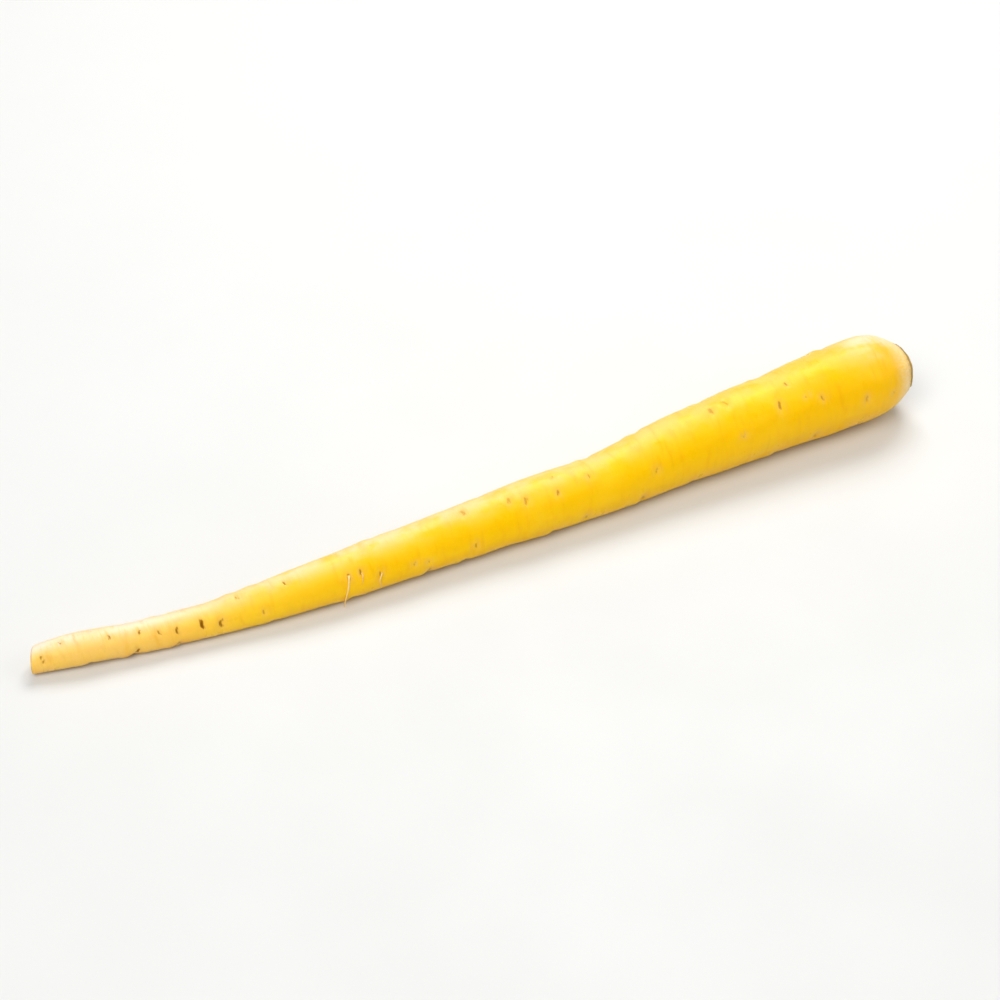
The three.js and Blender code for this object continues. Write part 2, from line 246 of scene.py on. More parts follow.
def scar_shapes(at, turn, radius):
    """Relief of all the scars, and masks of their slits, how dark those are and the cork round them."""
    relief, slit_mask, dark_mask, halo_mask = np.zeros((4, len(at), turn.shape[1]))
    for index, (scar_at, scar_turn, size, darkness) in enumerate(root_scars()):
        near = np.abs(at[:, 0] - scar_at) < SCAR_REACH
        ahead = at[near] - scar_at
        away = wrapped(turn - math.radians(scar_turn)) * radius[near]
        across = hill(away, SCAR_WIDTH * size)
        pick = SCAR_PICKS + 2 * index
        tilt = SLIT_TILT * (2 * scatter(pick) - 1)
        wave = SLIT_WAVE * np.sin(SLIT_WAVES * away + WAVE_STARTS * scatter(pick + 1))
        ends = np.exp(-((away / (SLIT_WIDTH * size)) ** SLIT_BLUNTNESS))
        slit = hill(ahead + tilt * away + wave, SLIT_LENGTH * size) * ends
        relief[near] += size * across * LIP_HEIGHT * hill(ahead + LIP_SHIFT, LIP_LENGTH)
        relief[near] -= size * across * SCAR_DEPTH * hill(ahead, SCAR_LENGTH)
        relief[near] -= SLIT_DEPTH * size * slit
        slit_mask[near] = np.maximum(slit_mask[near], slit)
        halo = hill(ahead, HALO_LENGTH) * hill(away, HALO_WIDTH * size)
        halo_mask[near] = np.maximum(halo_mask[near], halo)
        dark_mask[near] = np.maximum(dark_mask[near], darkness * np.sqrt(halo))
    return relief, slit_mask, dark_mask, halo_mask


def crease_shapes(at, turn):
    """Mask of the short creases that run part of the way round, closer together towards both ends."""
    mask = np.zeros((len(at), turn.shape[1]))
    for k in range(CREASES):
        pick = CREASE_PICKS + 6 * k
        spread = 2 * scatter(pick) - 1
        middle = CROWN_AT / 2 * (1 + spread * abs(spread) ** -CREASE_CROWDING)
        half_turn = math.radians(between(CREASE_HALF_TURNS, scatter(pick + 2)))
        away = wrapped(turn - 2 * math.pi * scatter(pick + 1))
        bend = CREASE_TILT * (2 * scatter(pick + 3) - 1) * away
        wave = CREASE_WAVE * np.sin(CREASE_WAVES * away + WAVE_STARTS * scatter(pick + 4))
        ends = np.clip(1 - (away / half_turn) ** 2, 0, 1)
        depth = between(CREASE_SHARES, scatter(pick + 5))
        mask = np.maximum(mask, depth * ends * hill(at - middle - bend - wave, CREASE_LENGTH))
    return mask


def arch_lift(at):
    rests = [smooth(start - REST_FADE, start, at) * (1 - smooth(end, end + REST_FADE, at))
             for start, end in REST_STRETCHES]
    return ARCH * (1 - np.maximum(*rests))


def growth(at, turn, radius):
    """How the skin stands off the round taper, its wrinkles, and the masks that its colours follow."""
    uneven = OVAL * np.cos(2 * turn - at / OVAL_PITCH)
    swell = np.sin(at / SWELL_PITCH + SWELL_SWAY * np.sin(turn)) * np.cos(turn - at / SWELL_SPIRAL)
    ripple = np.sin(at / RIPPLE_PITCH + RIPPLE_SWAY * np.cos(turn))
    uneven = uneven + SWELL * swell + RIPPLE * ripple
    facing = (1 + np.cos(turn - math.radians(FULL_TURN))) / 2
    full = FULL_RISE * facing ** 2 * hill(at - FULL_AT, FULL_REACH)
    thick = THIN_SHARE + (1 - THIN_SHARE) * radius / SHOULDER_RADIUS
    scars, slit, dark, halo = scar_shapes(at, turn, radius)
    crease = crease_shapes(at, turn)
    spots = np.stack(np.broadcast_arrays(at, radius * np.cos(turn), radius * np.sin(turn)), axis=-1)
    collar = smooth(COLLAR_AT, COLLAR_AT + COLLAR_FADE, at)
    wrinkles = grain(spots, (WRINKLE_LENGTH, WRINKLE_WIDTH, WRINKLE_WIDTH))
    lumps = grain(spots, (LUMP_SIZE,) * 3, LUMP_LIFT)
    dimples = grain(spots, (DIMPLE_SIZE,) * 3, DIMPLE_LIFT)
    ridges = collar * COLLAR_RIDGE * np.sin(at / COLLAR_PITCH + COLLAR_BEND * lumps)
    fine = WRINKLE * (1 + collar) * wrinkles + thick * (LUMP * lumps + DIMPLE * dimples)
    fine = fine + ridges - CREASE_DEPTH * crease
    skin = thick * uneven + full + scars + fine
    below = smooth(FLANK, FLOOR, -np.sin(turn))
    stand_off = (1 - below) * skin - below * arch_lift(at)
    return stand_off, wrinkles, {"slit": slit, "dark": dark, "halo": halo, "crease": crease}


def root_rings():
    """Columns at, radius, skin, lean and face of the rings from the tail cut to the crown seat.
    "skin" is the share of the growth that a ring carries, "lean" its share of the cut's slope and
    "face" how far out it is on the cut face, or 0 elsewhere."""
    rings = []
    tail = float(body_radius(CUT_AT))
    for k in range(1, FACE_RINGS):
        share = k / FACE_RINGS
        rings.append((CUT_AT + CUT_HOLLOW * (1 - share ** 2), (tail - CUT_EDGE) * share, 0, 1, 1))
    for k in range(EDGE_RINGS):
        bend = k / EDGE_RINGS
        turn = bend * math.pi / 2
        at = CUT_AT + CUT_EDGE * (1 - math.cos(turn))
        rings.append((at, tail - CUT_EDGE * (1 - math.sin(turn)), bend, 1, 1 - bend))
    start = CUT_AT + CUT_EDGE
    for k in range(STATIONS):
        at = start + (SHOULDER_AT - start) * k / STATIONS
        rings.append((at, float(body_radius(at)), 1, 1 - float(smooth(0, CUT_FADE, at - start)), 0))
    for k in range(SHOULDER_STATIONS + 1):
        share = k / SHOULDER_STATIONS
        at = SHOULDER_AT + DOME * math.sin(CROWN_TURN * share)
        radius = SHOULDER_RADIUS * math.cos(CROWN_TURN * share)
        rings.append((at, radius, 1 - float(smooth(CALM_FROM, 1, share)), 0, 0))
    slope = math.atan2(SHOULDER_RADIUS * math.sin(CROWN_TURN), DOME * math.cos(CROWN_TURN))
    for k in range(1, CURL_RINGS + 1):
        heading = slope + (math.pi - slope) * k / CURL_RINGS
        at = CROWN_AT + RIM_CURL * (math.sin(heading) - math.sin(slope))
        rings.append((at, CROWN_RADIUS + RIM_CURL * (math.cos(heading) - math.cos(slope)), 0, 0, 0))
    for share in SEAT_SHARES:
        rings.append((SEAT_AT, rings[-1][1] * share, 0, 0, 0))
    return np.array(rings)


def grid_faces(rings, sides):
    """Quads between rings of points, with a fan at each end round the first and the last point."""
    side = np.arange(sides)
    after = (side + 1) % sides
    first = 1 + np.arange(rings - 1)[:, None] * sides
    quads = np.stack([first + side, first + after, first + sides + after, first + sides + side], axis=-1)
    end = 1 + (rings - 1) * sides
    tip = 1 + rings * sides
    faces = quads.reshape(-1, 4).tolist()
    faces += [(0, 1 + b, 1 + a) for a, b in zip(side.tolist(), after.tolist())]
    faces += [(end + a, end + b, tip) for a, b in zip(side.tolist(), after.tolist())]
    return faces


def with_ends(grid, first, last):
    return np.concatenate([[first], grid.reshape(-1, *grid.shape[2:]), [last]])


def new_piece(name, points, faces, masks, material):
    """A smooth mesh from points in millimetres, with each mask as a value on its points."""
    mesh = bpy.data.meshes.new(name)
    mesh.from_pydata((points * MM).tolist(), [], faces)
    for key, values in masks.items():
        layer = mesh.attributes.new(key, "FLOAT", "POINT")
        layer.data.foreach_set("value", np.asarray(values, np.float32))
    mesh.polygons.foreach_set("use_smooth", [True] * len(mesh.polygons))
    mesh.materials.append(material)
    mesh.validate()
    piece = bpy.data.objects.new(name, mesh)
    bpy.context.scene.collection.objects.link(piece)
    return piece


def root_piece(material):
    at, radius, skin, lean, face = (column[:, None] for column in root_rings().T)
    turn = (2 * math.pi * np.arange(SIDES) / SIDES - math.pi / 2)[None, :]
    stand_off, wrinkles, masks = growth(at, turn, radius)
    reach = radius + skin * stand_off + smooth(CROWN_AT - RIM_REACH, CROWN_AT, at) * rim_wave(turn)
    side = reach * np.cos(turn)
    cut = np.broadcast_to(face, reach.shape)
    share = radius / radius[FACE_RINGS]
    rough_cut = cut * CUT_ROUGH * (np.sin(CUT_WAVES * share) + wrinkles)
    x = at + CUT_SLANT * lean * side + rough_cut - LENGTH / 2
    y = axis_side(at) + side
    z = np.maximum(0, axis_height(at) + reach * np.sin(turn))
    grid = np.stack([x, y, z], axis=-1)
    first = grid[0].mean(axis=0)
    last = grid[-1].mean(axis=0)
    masks["from_tail"] = np.broadcast_to(at / LENGTH, reach.shape)
    masks["cut_face"] = cut
    # painted highlight: the upper side of the tail is painted pale
    tail_highlight_band = hill(wrapped(turn - math.radians(TAIL_HIGHLIGHT_TURN)), TAIL_HIGHLIGHT_REACH)
    masks["tail_highlight"] = tail_highlight_band * (1 - smooth(*TAIL_HIGHLIGHT_FADE, at))
    # painted highlight: pale patches painted along the top, most of all on the neck and the shoulder
    top_highlight_band = hill(wrapped(turn - math.radians(TOP_HIGHLIGHT_TURN)), TOP_HIGHLIGHT_REACH)
    masks["top_highlight"] = top_highlight_band * along(TOP_HIGHLIGHT_SHARES, at)
    masks["cut_reach"] = np.broadcast_to(np.clip(share, 0, 1), reach.shape)
    values = {key: with_ends(mask, mask[0, 0], mask[-1, 0]) for key, mask in masks.items()}
    points = with_ends(grid, first, last)
    return new_piece("carrot_root_fine", points, grid_faces(len(at), SIDES), values, material)


def skin_spot(at, turn, lift):
    """A point that stands "lift" off the round taper, in millimetres."""
    reach = body_radius(at) + lift
    height = axis_height(at) + reach * math.sin(math.radians(turn))
    return np.array([at - LENGTH / 2, axis_side(at) + reach * math.cos(math.radians(turn)), float(height)])


# Leaf stubs

def stalks():
    """(turn, radius, thick, half span, height, slant) of each trimmed stalk."""
    made = []
    pick = STALK_PICKS
    for depth, (count, radius, thick, span, stand) in enumerate(STALK_RINGS):
        for k in range(count):
            turn = 2 * math.pi * (k + STALK_DRIFT * scatter(pick)) / count + RING_TURN * depth
            height = STALK_FOOT + stand * (1 + STALK_UNEVEN * (scatter(pick + 1) - 0.5))
            slant = STALK_SLANT * (2 * scatter(pick + 2) - 1)
            made.append((turn, radius, thick, math.radians(span) / 2, height, slant))
            pick += 3
    return made


def stub_shapes(reach, turn):
    """Height of the leaf stubs over the seat, and the masks that their colours follow."""
    spots = np.stack([reach * np.cos(turn), reach * np.sin(turn), np.zeros_like(reach)], axis=-1)
    fray = grain(spots, (FRAY_SIZE,) * 3)
    edge = CROWN_RADIUS - GAP
    height = STALK_FOOT + PLATE_LIP + PLATE_RISE * (1 - (reach / edge) ** 2) + PLATE_FRAY * fray
    cut_face, flank, vein = np.zeros((3, *reach.shape))
    for middle, radius, thick, half_span, top, slant in stalks():
        away = wrapped(turn - middle)
        u = np.clip(away / half_span, -1, 1)
        inside = thick * np.sqrt(1 - u * u) / 2 - np.abs(reach - radius) + FRAY * fray
        inside = np.where(np.abs(away) < half_span, inside, -1)
        stands = smooth(-STALK_EDGE, STALK_EDGE, inside)
        face = smooth(STALK_EDGE, FACE_EDGES * STALK_EDGE, inside)
        veins = np.zeros_like(reach)
        for k in range(BUNDLES):
            spot = BUNDLE_SPAN * (2 * k / (BUNDLES - 1) - 1)
            away_from_vein = np.hypot((u - spot) * half_span * radius, reach - radius)
            veins = np.maximum(veins, hill(away_from_vein, BUNDLE_SIZE))
        level = top + slant * (reach * np.cos(away) - radius) + face * (BUNDLE_RISE * veins - STALK_DISH)
        height = np.maximum(height, height + (level - height) * stands)
        cut_face = np.maximum(cut_face, face)
        flank = np.maximum(flank, 4 * stands * (1 - stands))
        vein = np.maximum(vein, veins * face)
    bud = np.sqrt(np.clip(1 - (reach / BUD_RADIUS) ** 2, 0, 1)) * BUD_HEIGHT
    ribs = 1 + BUD_RIB * np.sin(BUD_RIBS * turn)
    height = np.maximum(height, STALK_FOOT + PLATE_LIP + PLATE_RISE + bud * ribs)
    return height, {"cut_face": cut_face, "flank": flank, "vein": vein}


def stub_piece(material):
    edge = CROWN_RADIUS - GAP
    reach = edge * np.arange(1, STUB_RINGS + 1)[:, None] / STUB_RINGS
    turn = (2 * math.pi * np.arange(STUB_SIDES) / STUB_SIDES)[None, :]
    reach, turn = np.broadcast_arrays(reach, turn)
    height, masks = stub_shapes(reach, turn)
    height = height - PLATE_ROUND * smooth(PLATE_ROUND_FROM, 1, reach / edge)
    reach = reach + (reach / edge) ** 2 * rim_wave(turn - math.pi / 2)
    reach = np.concatenate([reach, reach[-1:], reach[-1:] * PLATE_BACK_SHARE])
    turn = np.concatenate([turn, turn[-1:], turn[-1:]])
    height = np.concatenate([height, 0 * height[-1:], 0 * height[-1:]])
    masks = {key: np.concatenate([mask, mask[-1:], mask[-1:]]) for key, mask in masks.items()}
    masks["from_middle"] = reach / edge
    x = SEAT_AT + GAP - LENGTH / 2 + height
    y = axis_side(CROWN_AT) + reach * np.sin(turn)
    z = axis_height(CROWN_AT) - reach * np.cos(turn)
    grid = np.stack([x, y, z], axis=-1)
    tip = grid[0].mean(axis=0) + (BUD_TIP, 0, 0)
    values = {key: with_ends(mask, mask[0, 0], mask[-1, 0]) for key, mask in masks.items()}
    points = with_ends(grid, tip, grid[-1].mean(axis=0))
    return new_piece("leaf_stubs_fine", points, grid_faces(len(grid), STUB_SIDES), values, material)


# Root hairs

HAIRS = (  # (thickness at the skin, ((at, turn, lift), ...))
    (0.62, ((76.6, 143, -0.3), (76.4, 150, 0.1), (75.9, 170, 0.15), (75.3, 192, 0.3), (74.8, 208, 0.9),
            (74.4, 217, 1.8))),
    (0.34, ((79.9, 146, -0.3), (79.9, 154, 0.05), (79.6, 164, 0.1), (79.2, 175, 0.2))),
    (0.42, ((84.8, 163, -0.3), (84.3, 170, 0.05), (83.9, 182, 0.1), (84.3, 198, 0.2), (84.8, 209, 0.5))),
)
HAIR_TIP = 0.3  # share of its thickness that a hair has left at its tip
HAIR_KNOT, HAIR_KNOTS = 0.12, 19  # uneven share of a hair's thickness, and radians of that along it
HIDDEN_HAIRS, HIDDEN_THICKNESS = 9, 0.3
HIDDEN_REACHES = (8, 30)  # degrees round the root that a hidden hair reaches down
HIDDEN_DRIFTS = (-0.96, 0.64)  # how far along the root it strays
HIDDEN_LIFTS = ((0, -0.3), (0.2, 0.05), (0.6, 0.1), (1, 0.4))  # (share of its length, lift off the skin)
HAIR_PICKS = 2300  # first scattered value used for hidden hairs


def hidden_hairs():
    """Short hairs in some of the scars round the back."""
    behind = root_scars()[len(SCARS_IN_FRONT):]
    scars = [scar for scar in behind if math.sin(math.radians(scar[1])) < 0]
    made = []
    for k in range(HIDDEN_HAIRS):
        pick = HAIR_PICKS + 4 * k
        at, turn, size, _ = scars[int(scatter(pick) * len(scars))]
        reach = between(HIDDEN_REACHES, scatter(pick + 1))
        down = -reach if math.cos(math.radians(turn)) > 0 else reach
        drift = between(HIDDEN_DRIFTS, scatter(pick + 2))
        path = [(at + drift * share, turn + down * share, lift) for share, lift in HIDDEN_LIFTS]
        made.append((HIDDEN_THICKNESS * size, path))
    return made


def smooth_path(spots):
    """Evenly stepped points on a smooth curve through the spots."""
    spots = np.array(spots)
    padded = np.concatenate([2 * spots[:1] - spots[1:2], spots, 2 * spots[-1:] - spots[-2:-1]])
    made = []
    for step in np.linspace(0, len(spots) - 1, HAIR_STEPS):
        k = min(int(step), len(spots) - 2)
        u = step - k
        before, here, there, after = padded[k:k + 4]
        bend = u * (2 * before - 5 * here + 4 * there - after + u * (3 * here - before - 3 * there + after))
        made.append(here + 0.5 * u * (there - before + bend))
    return np.array(made)


def hair_piece(material):
    points, faces, lengths = [], [], []
    for thickness, path in (*HAIRS, *hidden_hairs()):
        line = smooth_path([skin_spot(*spot) for spot in path])
        heading = np.gradient(line, axis=0)
        heading /= np.linalg.norm(heading, axis=1)[:, None]
        out = np.cross(heading, (1.0, 0.0, 0.0))
        out /= np.linalg.norm(out, axis=1)[:, None]
        beside = np.cross(heading, out)
        share = np.linspace(0, 1, HAIR_STEPS)
        uneven = 1 + HAIR_KNOT * np.sin(HAIR_KNOTS * share)
        radius = thickness / 2 * (1 - (1 - HAIR_TIP) * share) * uneven
        line[:, 2] = np.maximum(line[:, 2], radius)
        angle = (2 * math.pi * np.arange(HAIR_SIDES) / HAIR_SIDES)[None, :, None]
        round_hair = np.cos(angle) * out[:, None] + np.sin(angle) * beside[:, None]
        grid = line[:, None] + radius[:, None, None] * round_hair
        start = sum(len(part) for part in points)
        points.append(with_ends(grid, line[0], line[-1]))
        faces += [tuple(start + corner for corner in face) for face in grid_faces(HAIR_STEPS, HAIR_SIDES)]
        lengths.append(with_ends(np.repeat(share[:, None], HAIR_SIDES, axis=1), 0.0, 1.0))
    masks = {"length": np.concatenate(lengths)}
    return new_piece("root_hairs", np.concatenate(points), faces, masks, material)


# Materials

def tint(red, green, blue):
    """A colour named by its 0 to 255 values on screen, as the shader takes it."""
    levels = [value / 255 for value in (red, green, blue)]
    linear = [v / 12.92 if v <= 0.04045 else ((v + 0.055) / 1.055) ** 2.4 for v in levels]
    return (*linear, 1.0)


MIX_SHARE, MIX_ONE, MIX_TWO, MIX_RESULT = 0, 6, 7, 2  # sockets of a mix node that blends colours


class Look:
    """One procedural material, with short calls for the nodes that it is made of."""

    def __init__(self, name):
        self.material = bpy.data.materials.new(name)
        self.material.use_nodes = True
        self.tree = self.material.node_tree
        self.surface = self.tree.nodes["Principled BSDF"]
        self.place = self.node("ShaderNodeTexCoord").outputs["Object"]

    def node(self, kind, **settings):
        made = self.tree.nodes.new(kind)
        for key, value in settings.items():
            setattr(made, key, value)
        return made

    def feed(self, socket, value):
        if isinstance(value, bpy.types.NodeSocket):
            self.tree.links.new(value, socket)
        else:
            socket.default_value = value

    def set(self, **inputs):
        for key, value in inputs.items():
            self.feed(self.surface.inputs[key.replace("_", " ")], value)

    def mask(self, name):
        return self.node("ShaderNodeAttribute", attribute_name=name).outputs["Fac"]

    def cloud(self, size, detail=3.0, roughness=0.55):
        """Noise with a grain of the given millimetres along X, Y and Z."""
        scaled = self.node("ShaderNodeMapping")
        self.feed(scaled.inputs["Vector"], self.place)
        self.feed(scaled.inputs["Scale"], [1 / (length * MM) for length in size])
        made = self.node("ShaderNodeTexNoise")
        self.feed(made.inputs["Vector"], scaled.outputs["Vector"])
        self.feed(made.inputs["Scale"], 1.0)
        self.feed(made.inputs["Detail"], detail)
        self.feed(made.inputs["Roughness"], roughness)
        return made.outputs["Fac"]

    def span(self, value, low, high, to_low=0.0, to_high=1.0):
        made = self.node("ShaderNodeMapRange", interpolation_type="SMOOTHSTEP")
        for key, level in (("Value", value), ("From Min", low), ("From Max", high), ("To Min", to_low),
                           ("To Max", to_high)):
            self.feed(made.inputs[key], level)
        return made.outputs["Result"]

    def sums(self, operation, one, two):
        made = self.node("ShaderNodeMath", operation=operation, use_clamp=operation == "ADD")
        self.feed(made.inputs[0], one)
        self.feed(made.inputs[1], two)
        return made.outputs["Value"]

    def times(self, one, two):
        return self.sums("MULTIPLY", one, two)

    def plus(self, one, two):
        """The sum, kept between 0 and 1."""
        return self.sums("ADD", one, two)

    def blend(self, share, one, two):
        made = self.node("ShaderNodeMix", data_type="RGBA")
        self.feed(made.inputs[MIX_SHARE], share)
        self.feed(made.inputs[MIX_ONE], one)
        self.feed(made.inputs[MIX_TWO], two)
        return made.outputs[MIX_RESULT]

    def ramp(self, value, stops):
        made = self.node("ShaderNodeValToRGB")
        elements = made.color_ramp.elements
        while len(elements) < len(stops):
            elements.new(1.0)
        for element, (position, colour) in zip(elements, stops):
            element.position = position
            element.color = colour
        self.feed(made.inputs["Fac"], value)
        return made.outputs["Color"]

    def bump(self, layers):
        """Bumps laid over each other, each a (height value, millimetres high)."""
        normal = None
        for height, rise in layers:
            made = self.node("ShaderNodeBump")
            self.feed(made.inputs["Height"], height)
            self.feed(made.inputs["Strength"], 1.0)
            self.feed(made.inputs["Distance"], rise * MM)
            if normal is not None:
                self.feed(made.inputs["Normal"], normal)
            normal = made.outputs["Normal"]
        self.set(Normal=normal)


TAIL_CREAM = tint(248, 200, 102)
TAIL_GOLD = tint(250, 196, 76)
NECK_YELLOW = tint(250, 198, 36)
BODY_YELLOW = tint(252, 196, 2)
SHOULDER_GOLD = tint(252, 192, 3)
LEMON = tint(254, 210, 40)
DEEP_GOLD = tint(240, 168, 1)
CORK_TAN = tint(240, 190, 84)
COLLAR_TAN = tint(250, 220, 160)
RIM_BROWN = tint(186, 138, 64)
# pale cream of the painted highlights
HIGHLIGHT_CREAM = tint(250, 226, 200)
SLIT_BROWN = tint(166, 104, 12)
SLIT_DARK = tint(116, 70, 8)
CREASE_SHADE_GOLD = tint(214, 142, 4)
CUT_TAN = tint(226, 186, 112)
CUT_CORE = tint(240, 206, 120)
CUT_RING = tint(176, 124, 52)
SKIN_RAMP = (  # (share of the way from the tail, colour)
    (0.0, TAIL_CREAM), (0.1, TAIL_CREAM), (0.15, TAIL_GOLD), (0.22, NECK_YELLOW), (0.36, BODY_YELLOW),
    (0.7, BODY_YELLOW), (0.95, SHOULDER_GOLD),
)
CUT_RAMP = (  # (share of the way out from the middle of the cut, colour)
    (0.0, CUT_CORE), (0.42, CUT_CORE), (0.52, CUT_RING), (0.62, CUT_TAN), (0.9, CUT_TAN), (1.0, CUT_RING),
)

# Grain of the skin's noises, in millimetres along X, Y and Z
BLOTCH_GRAIN = (16, 9, 9)
PATCH_GRAIN = (7, 5, 5)
BAND_GRAIN = (2.2, 9, 9)
STREAK_GRAIN = (0.5, 3.2, 3.2)
FIBRE_GRAIN = (4, 0.5, 0.5)
PORE_GRAIN = (0.35, 0.7, 0.7)
CUT_GRAIN = (2, 2, 2)
SPECK_GRAIN = (0.6, 0.6, 0.6)
FINE_DETAIL = 4

# How a noise or a mask becomes a share: (from, to) runs from 0 to 1, and two more values are other ends
LEMON_BLOTCHES = (0.5, 0.8, 0, 0.5)
GOLD_BANDS = (0.5, 0.8, 0, 0.45)
TAIL_HIGHLIGHT_BLOTCHES = (0.3, 0.6, 0.55, 1.0)
TOP_HIGHLIGHT_PATCHES = (0.3, 0.6, 0.2, 0.9)
CORK_TAIL = (0.28, 0.05, 0, 0.5)
CORK_CROWN = (0.9, 0.99, 0, 0.8)
CORK_PATCHES = (0.5, 0.7, 0, 0.5)
CORK_STREAKS = (0.56, 0.72, 0, 0.7)
HALO_STREAKS = (0.35, 0.62, 0.1, 0.8)
CREASE_SHADE_SHARE = 0.24
SLIT_SHARE = 0.8
SLIT_TEARS = (0.3, 0.7, -0.18, 0.18)
SLIT_EDGE = (0.22, 0.6)
SLIT_CORE = (0.55, 0.8, 0, 0.7)
SLIT_PIT = (0.22, 0.7, 1.0, 0.0)
COLLAR_PLACE = (0.958, 0.985)
COLLAR_FIBRES = (0.3, 0.6, 0.35, 0.85)
RIM_PLACE = (0.982, 0.9885)
RIM_FIBRES = (0.4, 0.62, 0.1, 0.6)
CUT_STRAY = (0.3, 0.7, -0.1, 0.1)
CUT_SPECKS = (0.45, 0.7, 0, 0.5)
WAX_BANDS = (0.3, 0.7, 0, 0.1)
WAX_PATCHES = (0.35, 0.65, 0.24, 0.46)

SCUFF_AND_HIGHLIGHT_ROUGHNESS, CUT_ROUGHNESS = 0.3, 0.35  # added to the waxy skin's roughness
GLOSS, GLOSS_TINT = 0.36, (1.0, 0.86, 0.12, 1.0)  # the flesh under the skin tints its sheen
GLOW, GLOW_DEPTH, GLOW_SPREAD = 0.25, 1.2, (1.0, 0.55, 0.1)  # light that spreads under the skin
PIT_RISE, PORE_RISE, STREAK_RISE = 0.15, 0.05, 0.05  # bumps, in millimetres


def skin_colours(look, patches, bands, streaks):
    """Colour of the skin between its scars, with a highlight painted pale along its top, and how much of it
    is scuffed or under that painted highlight.
    """
    from_tail = look.mask("from_tail")
    blotches = look.cloud(BLOTCH_GRAIN)
    colour = look.ramp(from_tail, SKIN_RAMP)
    colour = look.blend(look.span(blotches, *LEMON_BLOTCHES), colour, LEMON)
    colour = look.blend(look.span(bands, *GOLD_BANDS), colour, DEEP_GOLD)
    # painted highlight: the tail's upper side is blended to pale cream
    tail_highlight = look.times(look.mask("tail_highlight"), look.span(blotches, *TAIL_HIGHLIGHT_BLOTCHES))
    colour = look.blend(tail_highlight, colour, HIGHLIGHT_CREAM)
    # painted highlight: patches along the top are blended to pale cream
    top_highlight = look.times(look.mask("top_highlight"), look.span(patches, *TOP_HIGHLIGHT_PATCHES))
    colour = look.blend(top_highlight, colour, HIGHLIGHT_CREAM)
    ends = look.plus(look.span(from_tail, *CORK_TAIL), look.span(from_tail, *CORK_CROWN))
    corky = look.plus(look.span(patches, *CORK_PATCHES), ends)
    scuff = look.times(look.span(streaks, *CORK_STREAKS), corky)
    colour = look.blend(scuff, colour, CORK_TAN)
    return colour, look.plus(scuff, top_highlight)


def scar_colours(look, colour, streaks):
    """The colour with creases and scars laid over it, the share of slit, and how torn the skin is."""
    halo = look.times(look.mask("halo"), look.span(streaks, *HALO_STREAKS))
    colour = look.blend(halo, colour, CORK_TAN)
    # painted shade: the creases are darkened to a deeper gold
    colour = look.blend(look.times(look.mask("crease"), CREASE_SHADE_SHARE), colour, CREASE_SHADE_GOLD)
    torn = look.plus(look.times(look.mask("slit"), SLIT_SHARE), look.span(streaks, *SLIT_TEARS))
    slit = look.times(look.span(torn, *SLIT_EDGE), look.mask("dark"))
    colour = look.blend(slit, colour, SLIT_BROWN)
    colour = look.blend(look.times(look.span(torn, *SLIT_CORE), slit), colour, SLIT_DARK)
    return colour, slit, torn


def end_colours(look, colour):
    """The colour with the crown's pale collar, its brown rim and the cut tail laid over it."""
    from_tail = look.mask("from_tail")
    fibres = look.cloud(FIBRE_GRAIN)
    collar = look.times(look.span(from_tail, *COLLAR_PLACE), look.span(fibres, *COLLAR_FIBRES))
    colour = look.blend(collar, colour, COLLAR_TAN)
    rim = look.times(look.span(from_tail, *RIM_PLACE), look.span(fibres, *RIM_FIBRES))
    colour = look.blend(rim, colour, RIM_BROWN)
    cut_reach = look.plus(look.mask("cut_reach"), look.span(look.cloud(CUT_GRAIN), *CUT_STRAY))
    cut = look.ramp(cut_reach, CUT_RAMP)
    cut = look.blend(look.span(look.cloud(SPECK_GRAIN), *CUT_SPECKS), cut, CUT_RING)
    return look.blend(look.mask("cut_face"), colour, cut)


def skin_look():
    look = Look("carrot_skin")
    patches = look.cloud(PATCH_GRAIN)
    bands = look.cloud(BAND_GRAIN)
    streaks = look.cloud(STREAK_GRAIN, FINE_DETAIL)
    colour, scuff_and_highlight = skin_colours(look, patches, bands, streaks)
    colour, slit, torn = scar_colours(look, colour, streaks)
    colour = end_colours(look, colour)
    rough = look.plus(look.span(bands, *WAX_BANDS), look.span(patches, *WAX_PATCHES))
    rough = look.plus(rough, look.times(scuff_and_highlight, SCUFF_AND_HIGHLIGHT_ROUGHNESS))
    rough = look.plus(rough, look.times(look.plus(slit, look.mask("cut_face")), CUT_ROUGHNESS))
    look.set(Base_Color=colour, Roughness=rough, Specular_IOR_Level=GLOSS, Specular_Tint=GLOSS_TINT)
    look.set(Subsurface_Weight=GLOW, Subsurface_Scale=GLOW_DEPTH * MM, Subsurface_Radius=GLOW_SPREAD)
    pits = look.span(torn, *SLIT_PIT)
    pores = look.cloud(PORE_GRAIN, FINE_DETAIL)
    look.bump(((pits, PIT_RISE), (pores, PORE_RISE), (streaks, STREAK_RISE)))
    return look.material


STALK_FLESH = tint(220, 196, 122)
STALK_GREEN = tint(174, 154, 70)
STALK_DRY = tint(192, 148, 64)
STALK_SHADE = tint(120, 90, 44)
VEIN_PALE = tint(228, 212, 148)
STALK_PATCH_GRAIN = (1.4, 1.4, 1.4)
STALK_FIBRE_GRAIN = (1.6, 0.25, 0.25)
STALK_PORE_GRAIN = (0.3, 0.3, 0.3)
STALK_CUT_SHARE = 0.85
STALK_MIX = (0.35, 0.65)
STALK_FLANK_SHADE = (0.3, 0.6, 0.25, 0.85)
STALK_OUTSIDE = (0.88, 0.98)
STALK_OUTSIDE_FIBRES = (0.3, 0.6, 0.45, 0.95)
STALK_ROUGHNESS = (0.3, 0.7, 0.6, 0.85)
STALK_FIBRE_RISE, STALK_PORE_RISE = 0.1, 0.05


